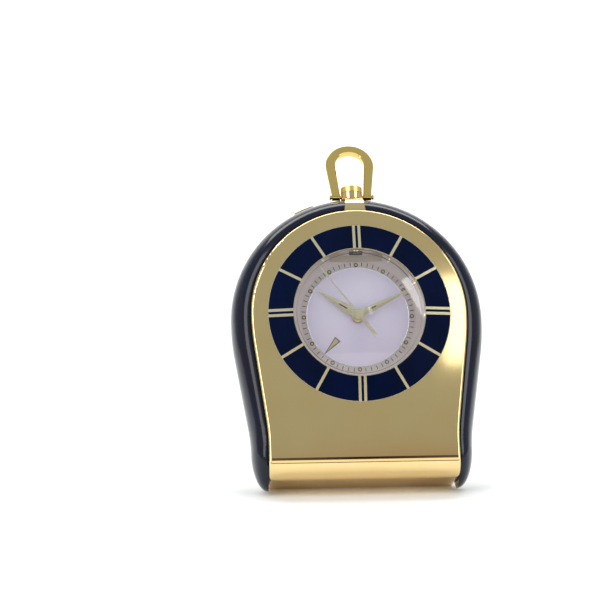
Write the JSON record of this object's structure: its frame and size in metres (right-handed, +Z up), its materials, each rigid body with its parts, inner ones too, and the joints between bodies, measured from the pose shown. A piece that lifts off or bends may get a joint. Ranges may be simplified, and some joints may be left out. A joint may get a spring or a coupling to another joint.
{
  "type": "pendulette clock",
  "caption": "Small travel alarm clock with an arched gilt front, blue lacquered hour ring and band, a stirrup bow on top and a folding rear strut that it leans on.",
  "frame": {"origin": "middle of the narrow flat on the lower rear edge of the front plate, where the leaning clock stands", "axes": "+Z up from the floor, +X to the right as the dial is read, +Y to the back; the face looks along -Y and leans back 22 degrees"},
  "size_m": [0.0558, 0.0389, 0.0741],
  "materials": {
    "lacquer": "dark blue lacquer over brass, polished",
    "gilt_brass": "gilt and polished",
    "silvered_dial": "silvered, brushed upright",
    "dark_print": "printed, matt",
    "crystal": "clear, polished",
    "brass": "brushed",
    "steel": "brushed"
  },
  "bodies": {
    "case": {"case_middle": "lacquer", "lacquer_inlays": "lacquer", "front_plate": "gilt_brass", "hour_ring": "gilt_brass", "pendant": "gilt_brass", "bow_screws": "gilt_brass", "back_cover": "gilt_brass", "hour_dots": "gilt_brass", "hour_marks": "gilt_brass", "dial_plate": "silvered_dial", "name_plate": "silvered_dial", "crystal": "crystal", "crystal_retaining_ring": "brass", "movement_ring": "brass", "main_plate": "brass", "train_bridge": "brass", "barrel_bridge": "brass", "balance_cock": "brass", "pallet_cock": "brass", "gong_stud": "brass", "push_piece_spring": "steel", "back_cover_screws": "steel", "strut_hinge_pin": "steel", "bridge_screws": "steel", "hairspring": "steel"},
    "bow": {"bow": "gilt_brass"},
    "winding_pinion": {"winding_pinion": "steel"},
    "crown": {"crown": "gilt_brass", "winding_stem": "steel"},
    "setting_lever": {"setting_lever": "steel"},
    "crown_wheel": {"crown_wheel": "steel"},
    "ratchet_wheel": {"ratchet_wheel": "steel"},
    "click": {"click": "steel"},
    "push_piece": {"alarm_push_piece": "gilt_brass"},
    "strut": {"strut": "gilt_brass"},
    "going_barrel": {"going_barrel": "brass"},
    "centre_wheel": {"centre_wheel": "brass"},
    "third_wheel": {"third_wheel": "brass"},
    "seconds": {"fourth_wheel": "brass", "seconds_hand": "gilt_brass"},
    "escape_wheel": {"escape_wheel": "steel"},
    "pallet_fork": {"pallet_fork": "steel"},
    "balance": {"balance_wheel": "brass"},
    "minute": {"cannon_pinion": "brass", "minute_hand": "gilt_brass"},
    "minute_wheel": {"minute_wheel": "brass"},
    "hour": {"hour_wheel": "brass", "hour_hand": "gilt_brass"},
    "alarm_disc": {"alarm_disc": "silvered_dial", "alarm_pointer": "dark_print", "alarm_wheel": "brass"},
    "alarm_barrel": {"alarm_barrel": "brass"},
    "alarm_ratchet_wheel": {"alarm_ratchet_wheel": "steel"},
    "alarm_hammer": {"alarm_hammer": "steel"}
  },
  "joints": [
    {"name": "bow_swing", "type": "hinge", "parent": "case", "child": "bow", "pos_m": [0, 0.01801, 0.06274], "axis": [1, 0, 0], "range_deg": [-88, 118]},
    {"name": "strut_fold", "type": "hinge", "parent": "case", "child": "strut", "pos_m": [0, 0.01533, 0.03783], "axis": [-1, 0, 0], "range_deg": [0, 32]},
    {"name": "crown_spin", "type": "hinge", "parent": "case", "child": "winding_pinion", "pos_m": [0, 0.01828, 0.06342], "axis": [0, 0.3746, 0.9272], "continuous": true},
    {"name": "crown_pull", "type": "slide", "parent": "winding_pinion", "child": "crown", "axis": [0, 0.3746, 0.9272], "range_m": [0, 0.0009]},
    {"name": "setting_lever_turn", "type": "hinge", "parent": "case", "child": "setting_lever", "pos_m": [0.00309, 0.0056, 0.05206], "axis": [0, 0.9272, -0.3746], "range_deg": [0, 19.8]},
    {"name": "crown_wheel_spin", "type": "hinge", "parent": "case", "child": "crown_wheel", "pos_m": [0, 0.0039, 0.04785], "axis": [0, 0.9272, -0.3746], "continuous": true},
    {"name": "ratchet_wheel_spin", "type": "hinge", "parent": "case", "child": "ratchet_wheel", "pos_m": [-0.00434, 0.00209, 0.04336], "axis": [0, 0.9272, -0.3746], "continuous": true},
    {"name": "click_pivot", "type": "hinge", "parent": "case", "child": "click", "pos_m": [-0.00964, 0.00202, 0.04319], "axis": [0, 0.9272, -0.3746], "range_deg": [0, 10]},
    {"name": "push_piece_press", "type": "slide", "parent": "case", "child": "push_piece", "axis": [0.3907, -0.3448, -0.8535], "range_m": [0, 0.0004], "stiffness_N_per_m": 300, "springref_m": -0.0004, "deforming": ["push_piece_spring"]},
    {"name": "seconds_spin", "type": "hinge", "parent": "case", "child": "seconds", "pos_m": [0, 0.00015, 0.03857], "axis": [0, 0.9272, -0.3746], "continuous": true},
    {"name": "third_wheel_spin", "type": "hinge", "parent": "case", "child": "third_wheel", "pos_m": [0.0035, 0.00147, 0.04182], "axis": [0, 0.9272, -0.3746], "continuous": true},
    {"name": "centre_wheel_spin", "type": "hinge", "parent": "case", "child": "centre_wheel", "pos_m": [0, 0.00015, 0.03857], "axis": [0, 0.9272, -0.3746], "continuous": true},
    {"name": "going_barrel_spin", "type": "hinge", "parent": "case", "child": "going_barrel", "pos_m": [-0.00434, 0.00209, 0.04336], "axis": [0, 0.9272, -0.3746], "continuous": true},
    {"name": "escape_wheel_spin", "type": "hinge", "parent": "case", "child": "escape_wheel", "pos_m": [0.00468, -0.00032, 0.03741], "axis": [0, 0.9272, -0.3746], "continuous": true},
    {"name": "pallet_rock", "type": "hinge", "parent": "case", "child": "pallet_fork", "pos_m": [0.00455, -0.00144, 0.03463], "axis": [0, 0.9272, -0.3746], "range_deg": [-4, 4]},
    {"name": "balance_swing", "type": "hinge", "parent": "case", "child": "balance", "pos_m": [0.0044, -0.0027, 0.03151], "axis": [0, 0.9272, -0.3746], "range_deg": [-135, 135], "stiffness_Nm_per_rad": 0.00000025, "deforming": ["hairspring"]},
    {"name": "minute_spin", "type": "hinge", "parent": "case", "child": "minute", "pos_m": [0, 0.00015, 0.03857], "axis": [0, 0.9272, -0.3746], "continuous": true},
    {"name": "minute_wheel_spin", "type": "hinge", "parent": "case", "child": "minute_wheel", "pos_m": [0, 0.00156, 0.04205], "axis": [0, 0.9272, -0.3746], "continuous": true},
    {"name": "hour_spin", "type": "hinge", "parent": "case", "child": "hour", "pos_m": [0, 0.00015, 0.03857], "axis": [0, 0.9272, -0.3746], "continuous": true},
    {"name": "alarm_disc_spin", "type": "hinge", "parent": "case", "child": "alarm_disc", "pos_m": [0, 0.00015, 0.03857], "axis": [0, 0.9272, -0.3746], "continuous": true},
    {"name": "alarm_barrel_spin", "type": "hinge", "parent": "case", "child": "alarm_barrel", "pos_m": [-0.008, -0.00153, 0.0344], "axis": [0, 0.9272, -0.3746], "continuous": true},
    {"name": "alarm_ratchet_spin", "type": "hinge", "parent": "case", "child": "alarm_ratchet_wheel", "pos_m": [-0.008, -0.00153, 0.0344], "axis": [0, 0.9272, -0.3746], "continuous": true},
    {"name": "hammer_swing", "type": "hinge", "parent": "case", "child": "alarm_hammer", "pos_m": [-0.0032, -0.00322, 0.03023], "axis": [0, 0.9272, -0.3746], "range_deg": [-36, 8]}
  ],
  "couplings": [
    {"joint": "setting_lever_turn", "follows": "crown_pull", "rad_per_m": 381.1},
    {"joint": "crown_wheel_spin", "follows": "crown_spin", "ratio": -0.66667},
    {"joint": "ratchet_wheel_spin", "follows": "crown_spin", "ratio": 0.34109},
    {"joint": "third_wheel_spin", "follows": "seconds_spin", "ratio": -0.13333},
    {"joint": "centre_wheel_spin", "follows": "seconds_spin", "ratio": 0.016667},
    {"joint": "going_barrel_spin", "follows": "seconds_spin", "ratio": -0.0025641},
    {"joint": "escape_wheel_spin", "follows": "seconds_spin", "ratio": -10},
    {"joint": "minute_wheel_spin", "follows": "minute_spin", "ratio": -0.33333},
    {"joint": "hour_spin", "follows": "minute_spin", "ratio": 0.083333}
  ]
}
